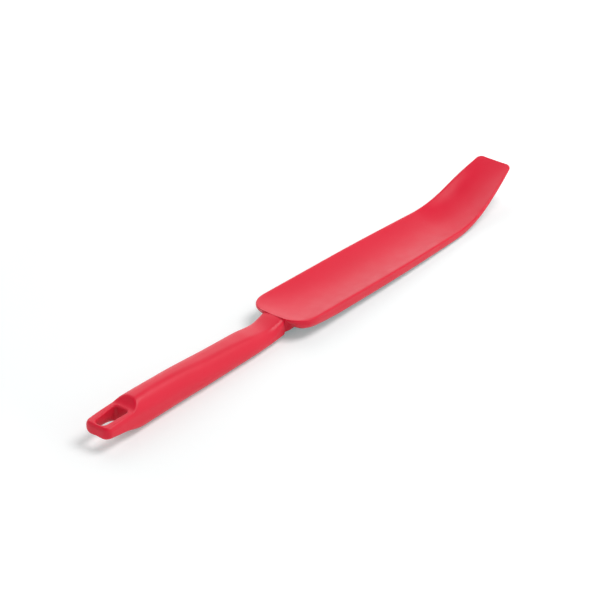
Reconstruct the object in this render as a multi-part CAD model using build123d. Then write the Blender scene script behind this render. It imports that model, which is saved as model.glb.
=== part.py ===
from build123d import *
import os
from math import asin, cos, degrees, radians, sin

# A silicone spatula with a hang loop, an upturned scraping tip and a stiff nylon core.
# It lies on its back along X: butt of the handle at minus X, tip at plus X, Z up, mirrored in Y.
# The origin is under the middle of its length, on the worktop. Sizes are in millimetres.
# Places along the handle are measured from the butt, and along the blade from its rear edge.

# Whole spatula
length = 305.0
grip_length = 124.0
rest_flat = 0.2

# Grip: outer skin of the handle
grip_width = 15.2
grip_height = 15.6
butt_rise = 5.7
shoulder_width = 13.5
shoulder_corner = 2.0
spine_rise = 1.6
rim_step = 0.4
grip_corner = 4.8

# Hang loop at the butt
loop_height = 12.5
loop_neck_height = 13.1
loop_round = 1.2
slot_wall = 2.4
slot_length = 15.2
slot_butt_width = 5.4
slot_neck_width = 8.0
slot_corner = 1.7
slot_round = 0.6
scoop_length = 6.2

# Blade: a shallow trough on a rounded hull, bent up towards the tip
rim_height = 11.0
bend_radius = 64.5
bend_angle = 24.0
blade_width = 33.8
blade_mid_width = 33.4
bend_width = 30.5
tip_width = 21.8
rear_flat_width = 10.0
rear_corner_length = 13.8
tip_corner = 3.0
blade_depth = 7.2
bend_depth = 5.2
tip_depth = 1.5
dish_depth = 3.2
rim_round = 0.8

# Spine under the rear of the blade, in line with the neck
spine_width = 10.0
spine_length = 42.0
spine_corner = 1.6
spine_sink = 0.3

# Nylon core
grip_skin = 2.0
blade_skin = 0.9
core_start = 27.0
seam_core_width = 7.6
seam_core_height = 3.9
tongue_width = 16.0
tongue_end_width = 11.0
tongue_flare = 30.0
window_length = 12.0
window_width = 3.4
lock_hole = 4.6

overrun = 10.0

# Grip stations from the butt: place, width, top, underside and corner, as shares of
# the grip's length, width, height, the rise of its butt and its largest corner.
grip_place_shares = (0.0, 0.092, 0.205, 0.37, 0.612, 0.815, 0.927)
grip_width_shares = (0.9, 0.89, 0.86, 0.875, 1.0, 1.0, 0.92)
grip_top_shares = (0.84, 0.94, 1.0, 0.945, 0.765, 0.635, 0.545)
grip_under_shares = (1.0, 0.6, 0.09, 0.0, 0.07, 0.14, 0.2)
grip_corner_shares = (0.6, 0.83, 1.0, 1.0, 0.96, 0.75, 0.56)

# Places of the sections that are lofted: with round corners at the loop, stepped ones after it
loop_section_shares = (0.0, 0.1, 0.2)
grip_section_shares = (0.2, 0.25, 0.33, 0.44, 0.56, 0.7, 0.83, 0.93, 1.0)

# Blade stations, as shares of the turn round the rear corner, of the straight run after it,
# of the bend, of the run to the tip's corners and of the turn round them.
rear_turn_shares = (0.0, 0.18, 0.3, 0.43, 0.58, 0.77, 1.0)
run_shares = (0.06, 0.13, 0.24, 0.4, 0.58, 0.76, 0.9, 1.0)
bend_shares = (0.17, 0.33, 0.5, 0.67, 0.83, 1.0)
tip_run_shares = (0.36, 0.63, 0.82, 0.93, 1.0)
tip_turn_shares = (0.3, 0.6, 1.0)

# Form of the hull at places along the whole blade: its depth, the upright wall as a share
# of the depth, the flat underside as a share of the width, and the dish.
hull_place_shares = (0.0, 0.033, 0.075, 0.113, 0.157, 0.26, 0.545, 0.705, 0.775, 0.847, 0.916, 1.0)
hull_depth_shares = (0.86, 0.9, 0.96, 0.985, 1.0, 1.0, 1.0, 1.0, 1.0, 1.0, 1.0, 1.0)
wall_shares = (0.2, 0.2, 0.27, 0.38, 0.42, 0.43, 0.4, 0.34, 0.34, 0.36, 0.41, 0.45)
floor_shares = (0.4, 0.24, 0.5, 0.7, 0.74, 0.745, 0.72, 0.68, 0.66, 0.65, 0.68, 0.7)
dish_shares = (0.06, 0.38, 0.64, 0.8, 0.9, 1.0, 0.9, 0.76, 0.68, 0.58, 0.4, 0.06)

# Stations of the tongue along its length and of the spine along its own
tongue_place_shares = (0.1, 0.27, 0.5, 1.0)
spine_place_shares = (0.0, 0.4, 1.0)

# Middles of the windows along the grip and of the holes along the tongue
window_place_shares = (0.31, 0.44, 0.58, 0.72)
lock_place_shares = (0.3, 0.47, 0.64, 0.81)
straight_share = 0.714
tongue_share = 0.867
edge_limit_share = 0.3
corner_limit_share = 0.42
corner_steps = 4
half = 0.5

blade_straight = (length - grip_length) * straight_share
tongue_length = blade_straight * tongue_share
bend_rim_height = bend_depth - rest_flat
blade_tilt = degrees(asin((rim_height - bend_rim_height) / blade_straight))
rise_angle = bend_angle - blade_tilt


def across(place):
    """The plane that cuts the handle square at a place from the butt."""
    return Plane.YZ.offset(place - length * half)


def rounded_section(plane, width, top, bottom, corner, steps, stepped):
    """A rectangle whose corners turn in a few arcs or flat steps."""
    radius = min(corner, (top - bottom) * corner_limit_share)
    side = width * half
    flat = side - radius
    outline = [Line((-flat, top), (flat, top)), Line((-flat, bottom), (flat, bottom))]
    for hand in (-1, 1):
        outline.append(Line((hand * side, top - radius), (hand * side, bottom + radius)))
        for level, turned in ((top, -1), (bottom, 1)):
            for step in range(steps):
                turns = [radians(90 * (step + part) / steps) for part in (0, half, 1)]
                points = [
                    (hand * (flat + radius * sin(turn)), level + turned * radius * (1 - cos(turn)))
                    for turn in turns
                ]
                outline.append(Line(points[0], points[2]) if stepped else ThreePointArc(*points))
    return plane * make_face(outline)


def bar_section(plane, width, top, bottom):
    """A plain rectangle."""
    return plane * Pos(0, (top + bottom) * half) * Rectangle(width, top - bottom)


def eased(run, places, values):
    """Value at a run on a smooth curve through listed values, level wherever they turn back."""
    steps = [last - first for first, last in zip(places, places[1:])]
    rises = [(after - before) / step for before, after, step in zip(values, values[1:], steps)]
    slopes = [rises[0]]
    for before, after in zip(rises, rises[1:]):
        slopes.append(2 * before * after / (before + after) if before * after > 0 else 0)
    slopes.append(rises[-1])
    for index, step in enumerate(steps):
        if run <= places[index + 1]:
            ahead = (run - places[index]) / step
            behind = 1 - ahead
            level = behind * behind * (1 + 2 * ahead) * values[index]
            level += ahead * ahead * (1 + 2 * behind) * values[index + 1]
            return level + step * ahead * behind * (behind * slopes[index] - ahead * slopes[index + 1])
    return values[-1]


def grip_stations():
    """Place, width, top, underside and corner of each section of the grip, up to the seam."""
    stations = []
    table = zip(grip_place_shares, grip_width_shares, grip_top_shares, grip_under_shares, grip_corner_shares)
    for place, width, top, under, corner in table:
        bottom = butt_rise * under - rest_flat
        stations.append((grip_length * place, grip_width * width, grip_height * top, bottom, grip_corner * corner))
    stations.append((grip_length, shoulder_width, rim_height - rim_step, spine_rise, shoulder_corner))
    return stations


def grip_sections(shares, steps):
    """Sections at shares of the grip's length, eased between the stations, stepped past the loop."""
    stations = grip_stations()
    places = [s[0] for s in stations]
    columns = [[s[item] for s in stations] for item in range(1, 5)]
    sections = []
    for share in shares:
        place = grip_length * share
        sizes = [eased(place, places, column) for column in columns]
        sections.append(rounded_section(across(place), *sizes, steps, share > loop_section_shares[-1]))
    return sections


def rim_place(run):
    """Point on the rim's line in side view, and its slope in degrees, at a run from the rear edge."""
    start_x = grip_length - length * half
    if run <= blade_straight:
        slope = -blade_tilt
        x = start_x + run * cos(radians(blade_tilt))
        z = rim_height - run * sin(radians(blade_tilt))
        return x, z, slope
    bend_x = start_x + blade_straight * cos(radians(blade_tilt))
    bend_run = bend_radius * radians(bend_angle)
    turned = min(run - blade_straight, bend_run)
    slope = degrees(turned / bend_radius) - blade_tilt
    x = bend_x + bend_radius * (sin(radians(slope)) + sin(radians(blade_tilt)))
    z = bend_rim_height + bend_radius * (cos(radians(blade_tilt)) - cos(radians(slope)))
    beyond = run - blade_straight - turned
    return x + beyond * cos(radians(slope)), z + beyond * sin(radians(slope)), slope


def tip_run():
    """Length of the straight run from the bend to the tip, whose lower edge ends the spatula."""
    bend_end = rim_place(blade_straight + bend_radius * radians(bend_angle))[0]
    tip_x = length * half - tip_depth * sin(radians(rise_angle))
    return (tip_x - bend_end) / cos(radians(rise_angle))


def spread(run, places, values):
    """Value at a run between listed places, on straight lines."""
    for first, last, low, high in zip(places, places[1:], values, values[1:]):
        if run <= last:
            return low + (high - low) * (run - first) / (last - first)
    return values[-1]


def whole_run():
    """Length of the rim's line from the rear edge to the tip."""
    return blade_straight + bend_radius * radians(bend_angle) + tip_run()


def hull_form(run, shares):
    """A share of the hull's form at a run."""
    return spread(run, [whole_run() * place for place in hull_place_shares], shares)


def hull_depth(run):
    """Depth of the hull below the rim's line."""
    places = (0.0, blade_straight, whole_run())
    return spread(run, places, (blade_depth, bend_depth, tip_depth)) * hull_form(run, hull_depth_shares)


def dish(run):
    """Depth of the trough below the rim's line."""
    return dish_depth * hull_form(run, dish_shares)


def blade_stations():
    """Run and width of each section of the blade."""
    bend_run = bend_radius * radians(bend_angle)
    turns = [radians(90 * share) for share in rear_turn_shares]
    tip_turns = [radians(90 * share) for share in tip_turn_shares]
    runs = [rear_corner_length * (1 - cos(turn)) for turn in turns]
    runs += [rear_corner_length + (blade_straight - rear_corner_length) * share for share in run_shares]
    runs += [blade_straight + bend_run * share for share in bend_shares]
    runs += [blade_straight + bend_run + (tip_run() - tip_corner) * share for share in tip_run_shares]
    runs += [whole_run() - tip_corner * (1 - sin(turn)) for turn in tip_turns]
    places = (0.0, blade_straight * half, blade_straight, whole_run())
    widths = [spread(run, places, (blade_width, blade_mid_width, bend_width, tip_width)) for run in runs]
    for index, turn in enumerate(turns):
        widths[index] = rear_flat_width + (blade_width - rear_flat_width) * sin(turn)
    for index, turn in enumerate(reversed(tip_turns)):
        widths[-1 - index] -= 2 * tip_corner * (1 - cos(turn))
    return list(zip(runs, widths))


def section_plane(run):
    """The plane square to the rim's line at a run, upright at the seam, with Y up out of the trough."""
    x, z, slope = rim_place(run)
    lean = radians(slope * min(1, run / rear_corner_length))
    return Plane(origin=(x, 0, z), x_dir=(0, 1, 0), z_dir=(cos(lean), 0, sin(lean)))


def hull_section(run, width):
    """Trough, rounded rim, upright wall, curved bilge and flat underside, mirrored."""
    side = width * half
    depth = hull_depth(run)
    flat = side * hull_form(run, floor_shares)
    wall = depth * hull_form(run, wall_shares)
    edge = min(rim_round, depth * edge_limit_share)
    inner = side - edge
    bow = edge * sin(radians(45))
    outline = [ThreePointArc((-inner, 0), (0, -dish(run)), (inner, 0)), Line((flat, -depth), (-flat, -depth))]
    for hand in (-1, 1):
        outline += [
            ThreePointArc((hand * inner, 0), (hand * (inner + bow), bow - edge), (hand * side, -edge)),
            Line((hand * side, -edge), (hand * side, -wall)),
            Bezier((hand * side, -wall), (hand * side, -depth), (hand * flat, -depth)),
        ]
    return section_plane(run) * make_face(outline)


def make_hull():
    """The blade's outer form with its trough."""
    return loft([hull_section(run, width) for run, width in blade_stations()], ruled=True)


def make_spine():
    """The rib that carries the neck's line on under the rear of the blade."""
    seam_x = grip_length - length * half
    end_bottom = rim_place(spine_length)[1] - hull_depth(spine_length) + spine_sink
    lower = [(seam_x, spine_rise), (seam_x + spine_length, end_bottom)]
    upper = []
    for share in spine_place_shares:
        run = spine_length * share
        upper.append((seam_x + run, rim_place(run)[1] - dish(run) - blade_skin))
    side_view = make_face(Polyline(*lower, *reversed(upper), close=True))
    spine = extrude(Plane.XZ * side_view, amount=spine_width * half, both=True)
    keel_edges = spine.faces().sort_by(Axis.Z)[0].edges().filter_by(Axis.Y, reverse=True)
    return fillet(keel_edges, spine_corner)


def make_handle():
    """The handle's outer form, with the loop's lowered top, its scoop and its hanging slot."""
    loop = loft(grip_sections(loop_section_shares, 1), ruled=True)
    butt_x = -length * half
    scoop_x = butt_x + slot_wall + slot_length
    floor = Line((butt_x - overrun, loop_height), (scoop_x, loop_neck_height))
    rise = TangentArc((scoop_x, loop_neck_height), (scoop_x + scoop_length, grip_height), tangent=floor % 1)
    above = grip_height + overrun
    lid = Polyline(rise @ 1, (scoop_x + scoop_length, above), (butt_x - overrun, above), floor @ 0)
    cutter = extrude(Plane.XZ * make_face([floor, rise, lid]), amount=grip_width, both=True)
    scooped = loop - cutter
    cut_edges = new_edges(loop, cutter, combined=scooped)
    outer_edges = cut_edges.filter_by(Axis.Y, reverse=True) + cut_edges.filter_by(Axis.Y).sort_by(Axis.X)[:1]
    end_edges = scooped.faces().sort_by(Axis.X)[0].edges()
    rounded = fillet(list(set(outer_edges + end_edges)), loop_round)
    slot_x = butt_x + slot_wall
    corners = [
        (slot_x, -slot_butt_width * half),
        (slot_x, slot_butt_width * half),
        (scoop_x, slot_neck_width * half),
        (scoop_x, -slot_neck_width * half),
    ]
    outline = make_face(Polyline(*corners, close=True))
    outline = fillet(outline.vertices(), slot_corner)
    slot = extrude(outline, amount=grip_height)
    slotted = rounded - slot
    mouth_edges = new_edges(rounded, slot, combined=slotted).filter_by(Axis.Z, reverse=True)
    mouth_edges = mouth_edges.filter_by(lambda edge: edge.center().Z > loop_height * half)
    grip = loft(grip_sections(grip_section_shares, corner_steps), ruled=True)
    return fillet(mouth_edges, slot_round) + grip


def make_core():
    """The nylon core: a windowed beam in the grip and a perforated tongue in the blade."""
    stations = grip_stations()
    places = [s[0] for s in stations]
    inset = [(s[0], s[1], s[2], s[3]) for s in stations if core_start < s[0] < grip_length]
    first = [spread(core_start, places, [s[item] for s in stations]) for item in range(1, 4)]
    sections = []
    for place, width, top, bottom in [(core_start, *first)] + inset:
        sizes = (width - 2 * grip_skin, top - grip_skin, bottom + grip_skin)
        sections.append(bar_section(across(place), *sizes))
    seam_bottom = spine_rise + grip_skin
    seam = bar_section(across(grip_length), seam_core_width, seam_bottom + seam_core_height, seam_bottom)
    beam = loft(sections + [seam], ruled=True)
    tongue_sections = [seam]
    for share in tongue_place_shares:
        run = tongue_length * share
        width = spread(run, (0, tongue_flare, tongue_length), (seam_core_width, tongue_width, tongue_end_width))
        top = -dish(run) - blade_skin
        bottom = blade_skin - hull_depth(run)
        tongue_sections.append(bar_section(section_plane(run), width, top, bottom))
    tongue = loft(tongue_sections, ruled=True)
    return beam + tongue


def make_core_locks():
    """The windows through the beam and the holes through the tongue that the silicone fills."""
    stations = grip_stations()
    places = [s[0] for s in stations]
    middles = [(s[2] + s[3]) * half for s in stations]
    cutters = []
    for share in window_place_shares:
        place = grip_length * share
        slot = Pos(place - length * half, 0, spread(place, places, middles)) * Rot(90, 0, 0)
        window = slot * Rectangle(window_length, window_width)
        cutters.append(extrude(window, amount=grip_width * half, both=True))
    for share in lock_place_shares:
        cutters.append(section_plane(tongue_length * share) * Box(lock_hole, blade_depth * 2, lock_hole))
    return cutters


def make_worktop():
    """The space below the worktop, which flattens the underside where the spatula rests."""
    return Pos(0, 0, -overrun) * Box(length + 2 * overrun, blade_width + 2 * overrun, 2 * overrun)


handle = make_handle()
core = make_core() - make_core_locks()
worktop = make_worktop()
parts = {
    "handle_grip": handle - core - worktop,
    "blade": (make_hull() - core) + (make_spine() - core) - worktop,
    "nylon_core": core,
}
os.makedirs("parts", exist_ok=True)
for name, shape in parts.items():
    print(name, len(shape.solids()), round(shape.volume), shape.is_valid)
    export_step(shape, f"parts/{name}.step")
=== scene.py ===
import math

import bmesh
import bpy
import numpy as np
from mathutils import Matrix, Vector


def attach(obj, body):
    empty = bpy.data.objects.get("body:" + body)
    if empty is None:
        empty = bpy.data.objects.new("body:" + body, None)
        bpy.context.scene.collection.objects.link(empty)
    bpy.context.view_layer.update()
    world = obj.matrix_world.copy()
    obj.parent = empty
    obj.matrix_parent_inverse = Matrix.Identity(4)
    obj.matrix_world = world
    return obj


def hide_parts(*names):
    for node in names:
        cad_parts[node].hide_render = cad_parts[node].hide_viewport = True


# The silicone spatula, dressed for a plain white studio. Metres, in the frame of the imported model:
# butt of the handle at minus X, tip at plus X, Z up, resting on the worktop at Z zero.
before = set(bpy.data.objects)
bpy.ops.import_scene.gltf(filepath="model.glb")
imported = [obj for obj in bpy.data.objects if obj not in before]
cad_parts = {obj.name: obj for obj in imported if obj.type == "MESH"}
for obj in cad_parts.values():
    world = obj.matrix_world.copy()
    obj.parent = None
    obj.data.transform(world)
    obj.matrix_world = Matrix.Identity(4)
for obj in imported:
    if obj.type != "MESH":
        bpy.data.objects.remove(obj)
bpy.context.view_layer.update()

# Camera, as fitted to the photograph: the point it aims at, its direction and its distance
AIM = Vector((0.00441, 0.01026, 0.0))
VIEW_TURN = math.radians(-51.53)
VIEW_RISE = math.radians(30.35)
VIEW_DISTANCE = 1.3001
FOCAL_PIXELS = 2705.2
FRAME_PIXELS = 600
SENSOR_MM = 36.0

# Colours, linear; a bounce colour is what the sweep receives from a piece
RED = (0.84, 0.004, 0.037, 1.0)
RED_DEEP = (0.78, 0.003, 0.030, 1.0)
NYLON = (0.05, 0.05, 0.055, 1.0)
GRIP_BOUNCE = (0.56, 0.14, 0.15, 1.0)
BLADE_BOUNCE = (0.38, 0.22, 0.23, 1.0)
WHITE = (1.0, 1.0, 1.0, 1.0)

# Moulded surface: noise scales in cells per metre, and the part of the noise's range that is used
DRIFT_SCALE = 38.0
GRAIN_SCALE = 2600.0
GLOSS_SCALE = 160.0
NOISE_RANGE = (0.3, 0.7)
GRAIN_STRENGTH = 0.25
MOULDED_IOR = 1.43
SHEEN_ROUGHNESS = 0.5

# Finish of each material slot: tone, deep tone, bounce colour, drift between the tones, range of
# roughness, height of the grain in metres, sheen
FINISHES = {
    "grip_silicone": (RED, RED_DEEP, GRIP_BOUNCE, 0.5, (0.33, 0.43), 0.00012, 0.08),
    "blade_silicone": (RED, RED_DEEP, BLADE_BOUNCE, 0.5, (0.32, 0.42), 0.00010, 0.08),
    "core_nylon": (NYLON, NYLON, NYLON, 0.0, (0.5, 0.6), 0.00008, 0.0),
}

# Sweep: half its side, its tone, its glow near the spatula and far off, and the distances between
FLOOR_REACH = 6.0
FLOOR_TONE = (0.94, 0.9, 0.9, 1.0)
NEAR_GLOW = (0.15, 0.205, 0.205, 1.0)
FAR_GLOW = (0.5, 0.5, 0.5, 1.0)
GLOW_RANGE = (0.155, 0.34)

# Surround: its levels at the backdrop and overhead, the heights between them, the direction of its
# bright side, and the shares of the level on the side opposite and on that side
SURROUND_LEVELS = (0.95, 0.1)
SURROUND_HEIGHTS = (0.45, 0.74)
BRIGHT_SIDE = (0.78, 0.62, 0.0)
SIDE_SHARES = (0.7, 1.18)

# Lamps that face the middle of the spatula: place, side and power
LAMPS = {
    "key_softbox": ((0.4, -0.5, 1.25), 0.8, 11.5),
    "far_fill": ((0.35, 0.8, 1.1), 1.0, 2.8),
}

# Meshes are worked out in millimetres
MM = 0.001
MERGE = 0.000002


def new_group(name, inputs, outputs):
    """An empty node group with named sockets; a socket is (name, type, default)."""
    group = bpy.data.node_groups.new(name, "ShaderNodeTree")
    for socket, kind, default in inputs:
        item = group.interface.new_socket(name=socket, in_out="INPUT", socket_type=kind)
        item.default_value = default
    for socket, kind in outputs:
        group.interface.new_socket(name=socket, in_out="OUTPUT", socket_type=kind)
    source = group.nodes.new("NodeGroupInput")
    sink = group.nodes.new("NodeGroupOutput")
    return group, source.outputs, sink


def fill(tree, node, values):
    """Gives each listed input of a node a plain value or a link from another node's output."""
    for name, value in values.items():
        if isinstance(value, bpy.types.NodeSocket):
            tree.links.new(value, node.inputs[name])
        else:
            node.inputs[name].default_value = value


def coordinates(tree, kind):
    """Texture coordinates of one kind."""
    return tree.nodes.new("ShaderNodeTexCoord").outputs[kind]


def ray_is(tree, kind):
    """One where the ray is of the named kind, otherwise zero."""
    return tree.nodes.new("ShaderNodeLightPath").outputs[kind]


def noise(tree, vector, scale, detail, roughness):
    """A noise texture at a scale in cells per metre."""
    node = tree.nodes.new("ShaderNodeTexNoise")
    fill(tree, node, {"Vector": vector, "Scale": scale, "Detail": detail, "Roughness": roughness})
    return node.outputs["Fac"]


def remap(tree, value, source, target, curve="LINEAR"):
    """A value carried from the source range to the target range, and held to its ends."""
    node = tree.nodes.new("ShaderNodeMapRange")
    node.interpolation_type = curve
    fill(tree, node, {"Value": value, "From Min": source[0], "From Max": source[1]})
    fill(tree, node, {"To Min": target[0], "To Max": target[1]})
    return node.outputs["Result"]


def combine(tree, operation, first, second):
    """The result of a Math node on two values."""
    node = tree.nodes.new("ShaderNodeMath")
    node.operation = operation
    fill(tree, node, {0: first, 1: second})
    return node.outputs["Value"]


def measure(tree, operation, *vectors):
    """The number that a Vector Math node makes of its vectors."""
    node = tree.nodes.new("ShaderNodeVectorMath")
    node.operation = operation
    fill(tree, node, dict(enumerate(vectors)))
    return node.outputs["Value"]


def blend(tree, share, first, second):
    """A colour mixed from two by the share of the second."""
    node = tree.nodes.new("ShaderNodeMix")
    node.data_type = "RGBA"
    fill(tree, node, {"Factor": share, "A": first, "B": second})
    return node.outputs["Result"]


def silicone_tone_group():
    """Slow drift between two tones of pigment, as in moulded silicone."""
    group, given, sink = new_group(
        "silicone_tone",
        [
            ("Vector", "NodeSocketVector", (0.0, 0.0, 0.0)),
            ("Tone", "NodeSocketColor", RED),
            ("Deep Tone", "NodeSocketColor", RED_DEEP),
            ("Drift", "NodeSocketFloat", 0.5),
        ],
        [("Color", "NodeSocketColor")],
    )
    cloud = noise(group, given["Vector"], DRIFT_SCALE, 3.0, 0.5)
    cloud = remap(group, cloud, NOISE_RANGE, (0.0, 1.0))
    amount = combine(group, "MULTIPLY", cloud, given["Drift"])
    fill(group, sink, {"Color": blend(group, amount, given["Tone"], given["Deep Tone"])})
    return group


def mould_grain_group():
    """The fine blasted grain that a satin mould leaves, as a height, and the gloss it breaks up."""
    group, given, sink = new_group(
        "mould_grain",
        [
            ("Vector", "NodeSocketVector", (0.0, 0.0, 0.0)),
            ("Gloss Low", "NodeSocketFloat", 0.38),
            ("Gloss High", "NodeSocketFloat", 0.48),
        ],
        [("Height", "NodeSocketFloat"), ("Roughness", "NodeSocketFloat")],
    )
    fine = noise(group, given["Vector"], GRAIN_SCALE, 2.0, 0.6)
    broad = noise(group, given["Vector"], GLOSS_SCALE, 3.0, 0.55)
    gloss = remap(group, broad, NOISE_RANGE, (given["Gloss Low"], given["Gloss High"]))
    fill(group, sink, {"Height": fine, "Roughness": gloss})
    return group


def moulded_material(name, tone, deep_tone, bounce, drift, gloss, grain_height, sheen):
    """A Principled finish whose tone and roughness come from the shared groups. The light that it
    throws on the sweep is paler than the silicone, so that its shadow stays grey."""
    material = bpy.data.materials.new(name)
    material.use_nodes = True
    tree = material.node_tree
    place = coordinates(tree, "Object")
    tones = tree.nodes.new("ShaderNodeGroup")
    tones.node_tree = SILICONE_TONE
    fill(tree, tones, {"Vector": place, "Tone": tone, "Deep Tone": deep_tone, "Drift": drift})
    grain = tree.nodes.new("ShaderNodeGroup")
    grain.node_tree = MOULD_GRAIN
    fill(tree, grain, {"Vector": place, "Gloss Low": gloss[0], "Gloss High": gloss[1]})
    bump = tree.nodes.new("ShaderNodeBump")
    fill(tree, bump, {
        "Strength": GRAIN_STRENGTH,
        "Distance": grain_height,
        "Height": grain.outputs["Height"],
    })
    fill(tree, tree.nodes["Principled BSDF"], {
        "Base Color": blend(tree, ray_is(tree, "Is Diffuse Ray"), tones.outputs["Color"], bounce),
        "Roughness": grain.outputs["Roughness"],
        "Normal": bump.outputs["Normal"],
        "IOR": MOULDED_IOR,
        "Sheen Weight": sheen,
        "Sheen Roughness": SHEEN_ROUGHNESS,
    })
    return material


def floor_material():
    """A white sweep that stays white to the camera and still takes the spatula's soft shadow: a
    glow grows with the distance, where the lamps fall off."""
    material = bpy.data.materials.new("white_sweep")
    material.use_nodes = True
    tree = material.node_tree
    reach = measure(tree, "LENGTH", coordinates(tree, "Object"))
    far = remap(tree, reach, GLOW_RANGE, (0.0, 1.0))
    fill(tree, tree.nodes["Principled BSDF"], {
        "Base Color": FLOOR_TONE,
        "Roughness": 1.0,
        "Specular IOR Level": 0.0,
        "Emission Color": blend(tree, far, NEAR_GLOW, FAR_GLOW),
        "Emission Strength": ray_is(tree, "Is Camera Ray"),
    })
    return material


def studio_world():
    """A pale surround, bright at the level of the sweep's backdrop, most so on its far side, dark
    overhead, and pure white where the camera sees it."""
    world = bpy.data.worlds.new("studio_surround")
    bpy.context.scene.world = world
    world.use_nodes = True
    tree = world.node_tree
    place = coordinates(tree, "Generated")
    split = tree.nodes.new("ShaderNodeSeparateXYZ")
    fill(tree, split, {"Vector": place})
    level = remap(tree, split.outputs["Z"], SURROUND_HEIGHTS, SURROUND_LEVELS, "SMOOTHSTEP")
    share = remap(tree, measure(tree, "DOT_PRODUCT", place, BRIGHT_SIDE), (-1.0, 1.0), SIDE_SHARES)
    leaning = combine(tree, "MULTIPLY", level, share)
    strength = combine(tree, "MAXIMUM", ray_is(tree, "Is Camera Ray"), leaning)
    fill(tree, tree.nodes["Background"], {"Color": WHITE, "Strength": strength})


def add_object(name, data):
    """A new object in the scene's collection."""
    item = bpy.data.objects.new(name, data)
    bpy.context.scene.collection.objects.link(item)
    return item


def softbox(name, place, side, power):
    """A large square lamp that faces the middle of the spatula."""
    lamp = bpy.data.lights.new(name, "AREA")
    lamp.shape = "SQUARE"
    lamp.size = side
    lamp.energy = power
    holder = add_object(name, lamp)
    holder.location = place
    holder.rotation_euler = (-Vector(place)).to_track_quat("-Z", "Y").to_euler()


def make_floor():
    """A flat square sheet of the sweep under the spatula."""
    mesh = bpy.data.meshes.new("sweep")
    signs = ((-1, -1), (1, -1), (1, 1), (-1, 1))
    corners = [(x * FLOOR_REACH, y * FLOOR_REACH, 0.0) for x, y in signs]
    mesh.from_pydata(corners, [], [(0, 1, 2, 3)])
    mesh.update()
    mesh.materials.append(floor_material())
    floor = add_object("sweep", mesh)


def make_camera():
    """The photograph's camera: its direction, distance and field of view."""
    right = Vector((math.cos(VIEW_TURN), math.sin(VIEW_TURN), 0.0))
    level = Vector((math.sin(VIEW_TURN), -math.cos(VIEW_TURN), 0.0))
    back = level * math.cos(VIEW_RISE) + Vector((0.0, 0.0, math.sin(VIEW_RISE)))
    up = back.cross(right)
    lens = bpy.data.cameras.new("camera")
    lens.sensor_width = SENSOR_MM
    lens.lens = FOCAL_PIXELS / FRAME_PIXELS * SENSOR_MM
    camera = add_object("camera", lens)
    turn = Matrix((right, up, back)).transposed().to_4x4()
    camera.matrix_world = Matrix.Translation(AIM + back * VIEW_DISTANCE) @ turn
    bpy.context.scene.camera = camera


def dress(node, material):
    """Gives a CAD node its finish."""
    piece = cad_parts[node]
    piece.data.materials.clear()
    piece.data.materials.append(material)


def shares(count):
    """Equal steps from zero to one."""
    return np.linspace(0.0, 1.0, count)


def quarter(count):
    """Equal steps of a quarter turn, in radians."""
    return np.linspace(0.0, math.pi / 2, count)


def eased(at, places, values):
    """Smooth curve through listed values: cubic pieces whose slope at each place is the harmonic
    mean of the rises on its two sides, or level where the values turn back."""
    places = np.asarray(places, float)
    values = np.asarray(values, float)
    steps = np.diff(places)
    rises = np.diff(values) / steps
    before, after = rises[:-1], rises[1:]
    onward = before * after > 0
    inner = np.where(onward, 2 * before * after / np.where(onward, before + after, 1.0), 0.0)
    slopes = np.concatenate((rises[:1], inner, rises[-1:]))
    index = np.clip(np.searchsorted(places, at) - 1, 0, len(steps) - 1)
    ahead = np.clip((at - places[index]) / steps[index], 0.0, 1.0)
    behind = 1.0 - ahead
    first = behind**2 * (1 + 2 * ahead) * values[index]
    last = ahead**2 * (1 + 2 * behind) * values[index + 1]
    bow = behind * slopes[index] - ahead * slopes[index + 1]
    return first + last + steps[index] * ahead * behind * bow


def soft_least(first, second, width):
    """The lesser of two values, rounded off where they cross over the given width."""
    share = np.clip(0.5 + 0.5 * (second - first) / width, 0.0, 1.0)
    return second * (1 - share) + first * share - width * share * (1 - share)


def grid_faces(rows, columns, start=0):
    """Quads between neighbours of a rows by columns grid of points."""
    row, column = np.meshgrid(np.arange(rows - 1), np.arange(columns - 1), indexing="ij")
    corner = (row * columns + column + start).ravel()
    return np.stack((corner, corner + 1, corner + columns + 1, corner + columns), axis=1)


def end_points(grid):
    """The middle of a half surface's first and last rows, on the plane of symmetry."""
    return np.array([grid[row].mean(axis=0) * (1, 0, 1) for row in (0, -1)])


def end_faces(rows, columns, half):
    """Fans that close both ends of a half surface and its mirror image, which starts at the point
    numbered half. The two end points come after both."""
    fans = []
    for row, pole in ((0, 2 * half), (rows - 1, 2 * half + 1)):
        side = np.arange(columns) + row * columns
        ring = np.concatenate((side, (side + half)[::-1]))
        fans.append(np.stack((ring, np.roll(ring, -1), np.full(len(ring), pole)), axis=1))
    return fans


def make_piece(name, points, faces, material, node):
    """A closed, smooth piece in metres from points in millimetres, standing for its CAD node."""
    mesh = bpy.data.meshes.new(name)
    polygons = [list(map(int, face)) for group in faces for face in group]
    mesh.from_pydata((points * MM).tolist(), [], polygons)
    shell = bmesh.new()
    shell.from_mesh(mesh)
    bmesh.ops.remove_doubles(shell, verts=shell.verts, dist=MERGE)
    bmesh.ops.dissolve_degenerate(shell, edges=shell.edges, dist=MERGE)
    bmesh.ops.recalc_face_normals(shell, faces=shell.faces)
    for face in shell.faces:
        face.smooth = True
    shell.to_mesh(mesh)
    shell.free()
    mesh.update()
    piece = add_object(name, mesh)
    mesh.materials.append(material)
    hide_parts(node)
    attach(piece, "root")
    return piece


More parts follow.
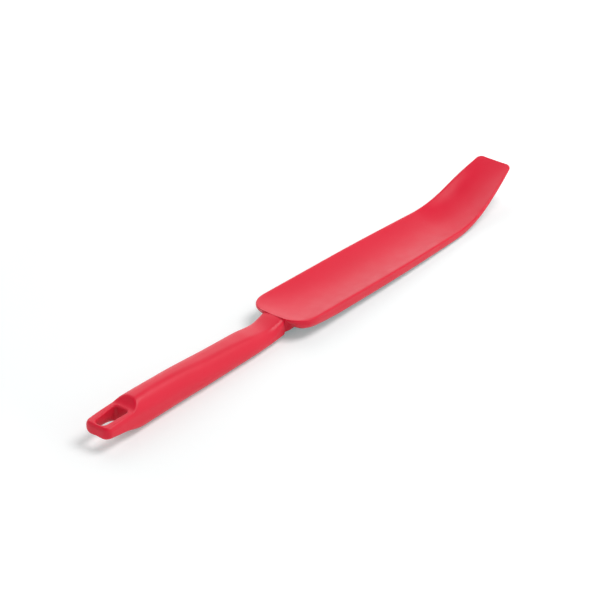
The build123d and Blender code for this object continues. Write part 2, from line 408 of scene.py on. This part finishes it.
# Blade, in millimetres. A run is a length along the rim's line from the seam.
HALF_LENGTH = 152.5
SEAM_X = -28.5
RIM_HEIGHT = 11.0
LOW_RIM_HEIGHT = 5.0
STRAIGHT = 129.234
BEND_RADIUS = 64.5
BEND = math.radians(24.0)
TILT = math.asin((RIM_HEIGHT - LOW_RIM_HEIGHT) / STRAIGHT)
BEND_RUN = BEND_RADIUS * BEND
RISE = BEND - TILT
REAR_DEPTH = 7.2
BEND_DEPTH = 5.2
TIP_DEPTH = 1.5
REAR_CORNER = 13.8
REAR_FLAT = 10.0
REAR_POWER = 2.25
TIP_CORNER = 2.3
RIM_ROUND = 0.8
RIM_ROUND_SHARE = 0.3
DISH = 3.2
TROUGH_EASE = 0.08


def rim_line(run):
    """Side view of the rim: straight down to the bend, an arc of one radius, then straight up to
    the tip. Gives x, z and the slope in radians at each run."""
    turned = np.clip(run - STRAIGHT, 0.0, BEND_RUN)
    slope = turned / BEND_RADIUS - TILT
    flat = np.minimum(run, STRAIGHT)
    beyond = np.maximum(run - STRAIGHT - BEND_RUN, 0.0)
    bend_x = BEND_RADIUS * (np.sin(slope) + math.sin(TILT))
    bend_z = BEND_RADIUS * (math.cos(TILT) - np.cos(slope))
    x = SEAM_X + flat * math.cos(TILT) + bend_x + beyond * np.cos(slope)
    z = RIM_HEIGHT - flat * math.sin(TILT) + bend_z + beyond * np.sin(slope)
    return x, z, slope


BEND_END = STRAIGHT + BEND_RUN
BEND_END_X = float(rim_line(np.array([BEND_END]))[0][0])
WHOLE_RUN = BEND_END + (HALF_LENGTH - TIP_DEPTH * math.sin(RISE) - BEND_END_X) / math.cos(RISE)

# Width, and the hull's shares along the run: of the depth, of the depth for the upright wall, of
# the half width for the flat floor, and of the dish for the trough
WIDTH_PLACES = WHOLE_RUN * np.array((0.0, 0.357, 0.714, 0.86, 0.94, 1.0))
WIDTHS = (33.76, 33.78, 30.9, 27.5, 23.7, 19.8)
HULL_PLACES = WHOLE_RUN * np.array(
    (0.0, 0.014, 0.033, 0.075, 0.113, 0.157, 0.26, 0.545, 0.705, 0.775, 0.847, 0.916, 1.0)
)
HULL_DEPTHS = (0.06, 0.44, 0.87, 0.98, 0.99, 1.0, 1.0, 1.0, 1.0, 1.0, 1.0, 1.0, 1.0)
HULL_WALLS = (0.42, 0.32, 0.28, 0.31, 0.4, 0.46, 0.48, 0.44, 0.36, 0.3, 0.22, 0.12, 0.25)
HULL_FLOORS = (0.6, 0.5, 0.5, 0.6, 0.7, 0.76, 0.775, 0.74, 0.69, 0.56, 0.4, 0.28, 0.4)
HULL_DISHES = (0.06, 0.2, 0.38, 0.64, 0.8, 0.9, 1.0, 0.94, 0.86, 0.86, 0.9, 0.68, 0.03)

# Spine under the rear: how far it reaches below the rim and its half width, at runs
KEEL_PLACES = (0.0, 7.0, 42.0)
KEEL_DROPS = (9.2, 8.9, 6.2)
KEEL_HALF_PLACES = (0.0, 5.0, 42.0)
KEEL_HALVES = (6.2, 6.8, 4.0)
KEEL_POWER = 9
KEEL_MARGIN = 1.0
KEEL_EASE = 0.6
KEEL_END = 46.0

# Rows of the blade's mesh along the run, and points round its half section
REAR_ROWS = 22
MIDDLE_ROWS = 84
TIP_ROWS = 12
TROUGH_POINTS = 27
ROUND_POINTS = 9
WALL_POINTS = 5
BILGE_POINTS = 15
FLOOR_POINTS = 15


def blade_half_width(run):
    """Half the blade's width: a gentle taper, a squarish quarter ellipse at the rear and round tip
    corners."""
    width = eased(run, WIDTH_PLACES, WIDTHS)
    ahead = 1 - np.minimum(run, REAR_CORNER) / REAR_CORNER
    rear = np.clip(1 - ahead**REAR_POWER, 0.0, 1.0) ** (1 / REAR_POWER)
    width = np.where(run < REAR_CORNER, REAR_FLAT + (width - REAR_FLAT) * rear, width)
    reach = np.clip(1 - (WHOLE_RUN - run) / TIP_CORNER, 0.0, 1.0)
    return width / 2 - TIP_CORNER * (1 - np.sqrt(1 - reach**2))


def trough_depth(across):
    """Depth of the trough as a share of its middle: it falls off as the square of the share across
    and eases into the rim."""
    deep = math.hypot(1, TROUGH_EASE) - TROUGH_EASE
    return (np.sqrt((1 - across**2) ** 2 + TROUGH_EASE**2) - TROUGH_EASE) / deep


def keel_drop(run, y, depth):
    """How far the spine reaches below the rim: even across its width, and steeply back up into the
    hull beyond it."""
    drop = np.interp(run, KEEL_PLACES, KEEL_DROPS)
    half = np.interp(run, KEEL_HALF_PLACES, KEEL_HALVES)
    climb = 0.5 * (drop - depth + KEEL_MARGIN)
    return drop - climb * np.clip(np.abs(y) / half, 0.0, 2.0) ** KEEL_POWER


def blade_surface():
    """Grid of run along the rim by turn round the section. A section goes from the middle of the
    trough out to the rim, over a quarter circle there, down the wall, round a quadratic Bezier
    bilge and in along the floor. The underside is the lower of that floor and the spine."""
    rear = REAR_CORNER * (1 - np.cos(quarter(REAR_ROWS)))
    middle = np.linspace(REAR_CORNER, WHOLE_RUN - TIP_CORNER, MIDDLE_ROWS)[1:-1]
    front = WHOLE_RUN - TIP_CORNER + TIP_CORNER * np.sin(quarter(TIP_ROWS))
    run = np.concatenate((rear, middle, front))[:, None]
    side = blade_half_width(run)
    full_depth = np.interp(run, (0.0, STRAIGHT, WHOLE_RUN), (REAR_DEPTH, BEND_DEPTH, TIP_DEPTH))
    depth = full_depth * eased(run, HULL_PLACES, HULL_DEPTHS)
    wall = depth * eased(run, HULL_PLACES, HULL_WALLS)
    flat = side * eased(run, HULL_PLACES, HULL_FLOORS)
    dish = DISH * eased(run, HULL_PLACES, HULL_DISHES)
    edge = np.minimum(RIM_ROUND, depth * RIM_ROUND_SHARE)
    across = shares(TROUGH_POINTS)[None, :]
    turn = quarter(ROUND_POINTS)[None, 1:]
    down = shares(WALL_POINTS)[None, 1:]
    bilge = shares(BILGE_POINTS)[None, 1:]
    inward = np.linspace(1.0, 0.0, FLOOR_POINTS)[None, 1:]
    y = np.concatenate((
        (side - edge) * across,
        side - edge + edge * np.sin(turn),
        side + 0 * down,
        side * (1 - bilge**2) + flat * bilge**2,
        flat * inward,
    ), axis=1)
    height = np.concatenate((
        -dish * trough_depth(across),
        -edge * (1 - np.cos(turn)),
        -edge - (wall - edge) * down,
        -wall * (1 - bilge) ** 2 - depth * (1 - (1 - bilge) ** 2),
        -depth + 0 * inward,
    ), axis=1)
    under = np.arange(y.shape[1]) >= across.shape[1] + turn.shape[1] + down.shape[1]
    lowered = soft_least(height, -keel_drop(run, y, depth), KEEL_EASE)
    height = np.where(under[None, :] & (run < KEEL_END), lowered, height)
    x_rim, z_rim, slope = rim_line(run)
    lean = slope * np.minimum(1.0, run / REAR_CORNER)
    x = x_rim - height * np.sin(lean)
    z = np.maximum(z_rim + height * np.cos(lean), 0.0)
    return np.stack((x, y, z), axis=-1)


def make_blade(material):
    """The blade: the half surface, its mirror image, and flat ends."""
    grid = blade_surface()
    rows, columns = grid.shape[:2]
    half = rows * columns
    points = np.concatenate((
        grid.reshape(-1, 3),
        (grid * (1, -1, 1)).reshape(-1, 3),
        end_points(grid),
    ))
    faces = [grid_faces(rows, columns), grid_faces(rows, columns, half)[:, ::-1]]
    faces += end_faces(rows, columns, half)
    return make_piece("blade_skin", points, faces, material, "blade")


# Grip, in millimetres. A place is a distance along it from the butt.
GRIP_LENGTH = 124.0
GRIP_PLACES = GRIP_LENGTH * np.array((0.0, 0.092, 0.205, 0.37, 0.612, 0.815, 0.927, 1.0))
GRIP_WIDTHS = (14.6, 14.7, 14.7, 15.0, 16.0, 15.9, 14.6, 13.7)
GRIP_TOPS = (13.1, 14.9, 16.1, 15.5, 12.85, 10.75, 9.0, 10.75)
GRIP_BOTTOMS = (5.85, 5.0, 0.6, 0.0, 0.17, 0.58, 0.94, 1.6)
GRIP_CORNERS = (3.0, 4.5, 6.3, 6.8, 6.4, 5.2, 3.6, 2.2)
UNDER_CORNERS = (3.0, 1.5, 4.5, 5.5, 5.0, 3.8, 2.7, 2.0)

# Largest corners as shares of the grip's height, the smallest corner, the rounding of the ends in
# section, in plan and at the seam, and how far the top falls from its middle to its sides
GRIP_CORNER_SHARE = 0.55
UNDER_CORNER_SHARE = 0.42
LEAST_CORNER = 0.4
LOOP_ROUND = 1.8
PLAN_ROUND = 3.4
SEAM_ROUND = 0.2
CROWN = 0.7

# Scooped top of the loop: its height at the butt, its slope, its curve past the slot, and the
# width over which it rounds into the grip's own top
SCOOP_HEIGHT = 11.9
SCOOP_SLOPE = 0.0341
SCOOP_CURVE = 0.115
SCOOP_EASE = 0.9

# Slot: its ends, its corners as place and across with their radii, the rounding of its mouth, and
# how far its underside opens out all round, besides that towards the neck, and how high up
SLOT_START = 2.2
SLOT_END = 17.6
SLOT_CORNERS = np.array(((SLOT_START, 0.0), (SLOT_START, 2.9), (SLOT_END, 4.15), (SLOT_END, 0.0)))
SLOT_CORNER_ROUNDS = {1: 2.5, 2: 1.8}
SLOT_ROUND = 1.0
SLOT_FLARE = 2.0
NECK_FLARE = 2.5
SLOT_FLARE_HEIGHT = 4.6
FLARE_HEIGHT_SHARE = 0.62

# Rows of the grip's mesh: before the slot, along it, in growing and then even steps after it, and
# at the seam; how far the rows fan out round the slot, and from where on they run straight across
BUTT_ROWS = 10
SLOT_ROWS = 56
GROWING_STEPS = np.linspace(0.25, 1.2, 16)
EVEN_STEPS = np.full(90, 1.2)
SEAM_START = 122.0
SEAM_ROWS = 6
FAN_START = 0.1
FAN_SHIFT = 1.0
FAN_REACH = 2.5
FAN_END = 118.0

# Points over the grip's top or underside, down its side, and down the slot's wall and its corners
TOP_POINTS = 25
SIDE_POINTS = 9
SLOT_WALL_POINTS = 12
SLOT_CORNER_POINTS = 12


def scoop_height(place):
    """Height of the scooped top: a gentle slope along the loop, then a parabola up past the crest,
    drawn in at the butt as the rest of the surface is."""
    rise = np.maximum(place - SLOT_END, 0.0)
    level = SCOOP_HEIGHT + SCOOP_SLOPE * place
    return level + SCOOP_CURVE * rise**2 - end_inset(place, LOOP_ROUND)


def end_inset(ahead, radius):
    """How far a quarter-round end draws the surface in, at a distance from that end."""
    return radius - np.sqrt(np.maximum(radius**2 - np.maximum(radius - ahead, 0.0) ** 2, 0.0))


def grip_sizes(place):
    """Half width, top, underside and the upper and lower corner radius at each place, drawn in by a
    quarter circle at both ends."""
    side = eased(place, GRIP_PLACES, GRIP_WIDTHS) / 2
    top = eased(place, GRIP_PLACES, GRIP_TOPS)
    bottom = eased(place, GRIP_PLACES, GRIP_BOTTOMS)
    tall = top - bottom
    corner = np.minimum(eased(place, GRIP_PLACES, GRIP_CORNERS), tall * GRIP_CORNER_SHARE)
    under = np.minimum(eased(place, GRIP_PLACES, UNDER_CORNERS), tall * UNDER_CORNER_SHARE)
    seam_inset = end_inset(GRIP_LENGTH - place, SEAM_ROUND)
    inset = end_inset(place, LOOP_ROUND) + seam_inset
    side = side - end_inset(place, PLAN_ROUND) - seam_inset
    corner = np.maximum(corner - inset, LEAST_CORNER)
    under = np.maximum(under - inset, LEAST_CORNER)
    return side, top - inset, bottom + inset, corner, under


def slot_outline(count):
    """Half of the slot's outline from butt to neck, with round corners, at equal steps of length:
    points and the directions out of the slot."""
    points, normals = [], []
    sweep = shares(SLOT_CORNER_POINTS)[:, None]
    for index, radius in SLOT_CORNER_ROUNDS.items():
        corner = SLOT_CORNERS[index]
        back, on = SLOT_CORNERS[index - 1] - corner, SLOT_CORNERS[index + 1] - corner
        back, on = back / np.linalg.norm(back), on / np.linalg.norm(on)
        half_angle = math.acos(float(back @ on)) / 2
        inward = (back + on) / np.linalg.norm(back + on)
        middle = corner + inward * radius / math.sin(half_angle)
        first = np.array((back[1], -back[0]))
        last = np.array((-on[1], on[0]))
        first = first if first @ (corner - middle) > 0 else -first
        last = last if last @ (corner - middle) > 0 else -last
        arc = first * (1 - sweep) + last * sweep
        arc /= np.linalg.norm(arc, axis=1)[:, None]
        points.append(middle + radius * arc)
        normals.append(arc)
    path = np.concatenate((SLOT_CORNERS[:1], *points, SLOT_CORNERS[-1:]))
    turn = np.concatenate((normals[0][:1], *normals, normals[-1][-1:]))
    length = np.concatenate(([0.0], np.cumsum(np.linalg.norm(np.diff(path, axis=0), axis=1))))
    at = np.linspace(0.0, length[-1], count)
    place = np.stack([np.interp(at, length, path[:, axis]) for axis in (0, 1)], axis=1)
    out = np.stack([np.interp(at, length, turn[:, axis]) for axis in (0, 1)], axis=1)
    return place, out / np.linalg.norm(out, axis=1)[:, None]


def flare_width(outward):
    """How far the underside opens out at each point of the slot's outline: most at the neck."""
    return SLOT_FLARE + NECK_FLARE * np.maximum(outward[:, :1], 0.0) ** 2


def profile_run(inner, side, corner, share):
    """Point at a share of the way along flat then corner arc, from an inner place out to the side:
    gives the place across and the drop from the flat. Starts on the arc where the inner place is
    already past the flat."""
    flat_end = side - corner
    flat_length = np.maximum(flat_end - inner, 0.0)
    start = np.arcsin(np.clip((inner - flat_end) / corner, 0.0, 0.999))
    along = share * (flat_length + corner * (math.pi / 2 - start))
    angle = start + np.maximum(along - flat_length, 0.0) / corner
    across = np.where(along < flat_length, inner + along, flat_end + corner * np.sin(angle))
    return across, corner * (1 - np.cos(angle))


def row_starts(outline, outward, mouth):
    """Where each row starts, as place and across: on the middle line before and after the slot, and
    on the slot's outline moved out by the mouth's width beside it."""
    opened = outline + outward * mouth
    butt = opened[0, 0] * (1 - np.cos(quarter(BUTT_ROWS + 1)[:-1]))
    onward = np.cumsum(np.concatenate((GROWING_STEPS, EVEN_STEPS)))
    onward = opened[-1, 0] + onward * (SEAM_START - opened[-1, 0]) / onward[-1]
    seam = GRIP_LENGTH - SEAM_ROUND * (1 - np.sin(quarter(SEAM_ROWS)))
    place = np.concatenate((butt, opened[:, 0], onward, seam))
    across = np.concatenate((0 * butt, opened[:, 1], 0 * onward, 0 * seam))
    return place[:, None], across[:, None]


def side_places(top_place, slot_rows):
    """Where each row ends on the grip's side: level with its start, apart from the rows beside the
    slot and near its neck, which fan out."""
    neck = float(top_place[slot_rows][-1, 0])
    places = top_place + FAN_SHIFT * np.exp(-np.abs(top_place - neck) / FAN_REACH)
    first = float(top_place[BUTT_ROWS, 0]) + FAN_START
    places[slot_rows, 0] = np.linspace(first, neck + FAN_SHIFT, SLOT_ROWS)
    places[:BUTT_ROWS] = top_place[:BUTT_ROWS]
    return np.where(top_place > FAN_END, top_place, places)


def grip_surface():
    """Grid of rows from butt to seam by turn from the top's middle round to the underside's. Beside
    the slot each row starts on the slot's rounded mouth, and its place along the grip slides from
    there to the side, so that the rows fan round the slot's ends. The top is the lesser of the
    body's own crowned height and the scoop's, rounded where they cross."""
    outline, outward = slot_outline(SLOT_ROWS)
    top_start, top_across = row_starts(outline, outward, SLOT_ROUND)
    bottom_start, bottom_across = row_starts(outline, outward, flare_width(outward))
    slot_rows = slice(BUTT_ROWS, BUTT_ROWS + SLOT_ROWS)
    side_place = side_places(top_start, slot_rows)
    share = shares(TOP_POINTS)[None, :]
    slide = share * share * (3 - 2 * share)
    place = top_start + (side_place - top_start) * slide
    side, top, bottom, corner, under = grip_sizes(place)
    top_y, drop = profile_run(top_across, side, corner, share)
    crown = CROWN * (top_y / side) ** 2
    top_z = soft_least(top - drop - crown, scoop_height(place), SCOOP_EASE)
    top_grid = np.stack((place, top_y, top_z), axis=-1)
    place = bottom_start + (side_place - bottom_start) * slide
    side, top, bottom, corner, under = grip_sizes(place)
    bottom_y, lift = profile_run(bottom_across, side, under, share)
    bottom_grid = np.stack((place, bottom_y, bottom + lift), axis=-1)
    fall = shares(SIDE_POINTS)[None, 1:-1, None]
    wall_grid = top_grid[:, -1:] * (1 - fall) + bottom_grid[:, -1:] * fall
    grid = np.concatenate((top_grid, wall_grid, bottom_grid[:, ::-1]), axis=1)
    return grid, slot_rows, outline, outward


def slot_surface(grid, slot_rows, outline, outward):
    """Grid of the slot's outline by turn: a quarter round in from the top, straight down, and a
    quarter ellipse out to the underside, wider towards the neck."""
    top_z = grid[slot_rows, 0, 2][:, None]
    bottom_z = grid[slot_rows, -1, 2][:, None]
    turn = quarter(ROUND_POINTS)[None, :]
    flare_turn = turn[:, ::-1]
    flare_height = np.minimum(SLOT_FLARE_HEIGHT, (top_z - bottom_z) * FLARE_HEIGHT_SHARE)
    fall = shares(SLOT_WALL_POINTS)[None, 1:-1]
    width = flare_width(outward)
    away = np.concatenate((
        SLOT_ROUND * (1 - np.sin(turn)) + 0 * width,
        0 * fall * width,
        width * (1 - np.sin(flare_turn)),
    ), axis=1)
    z = np.concatenate((
        top_z - SLOT_ROUND * (1 - np.cos(turn)),
        (top_z - SLOT_ROUND) * (1 - fall) + (bottom_z + flare_height) * fall,
        bottom_z + flare_height * (1 - np.cos(flare_turn)),
    ), axis=1)
    x = outline[:, :1] + outward[:, :1] * away
    y = outline[:, 1:] + outward[:, 1:] * away
    return np.stack((x, y, z), axis=-1)


def make_grip(material):
    """The grip's skin: outer surface, slot and flat ends, each with its mirror image."""
    grid, slot_rows, outline, outward = grip_surface()
    slot = slot_surface(grid, slot_rows, outline, outward)
    rows, columns = grid.shape[:2]
    right = np.concatenate((grid.reshape(-1, 3), slot.reshape(-1, 3)))
    half = len(right)
    points = np.concatenate((right, right * (1, -1, 1), end_points(grid)))
    points[:, 0] -= HALF_LENGTH
    points[:, 2] = np.maximum(points[:, 2], 0.0)
    faces = []
    for shift, order in ((0, 1), (half, -1)):
        faces.append(grid_faces(rows, columns, shift)[:, ::order])
        faces.append(grid_faces(*slot.shape[:2], shift + rows * columns)[:, ::-order])
    faces += end_faces(rows, columns, half)
    return make_piece("grip_skin", points, faces, material, "handle_grip")


SILICONE_TONE = silicone_tone_group()
MOULD_GRAIN = mould_grain_group()
materials = {slot: moulded_material(slot, *looks) for slot, looks in FINISHES.items()}

make_grip(materials["grip_silicone"])
make_blade(materials["blade_silicone"])
dress("nylon_core", materials["core_nylon"])

make_floor()
studio_world()
make_camera()
for lamp, settings in LAMPS.items():
    softbox(lamp, *settings)

bpy.context.scene.view_settings.view_transform = "Standard"
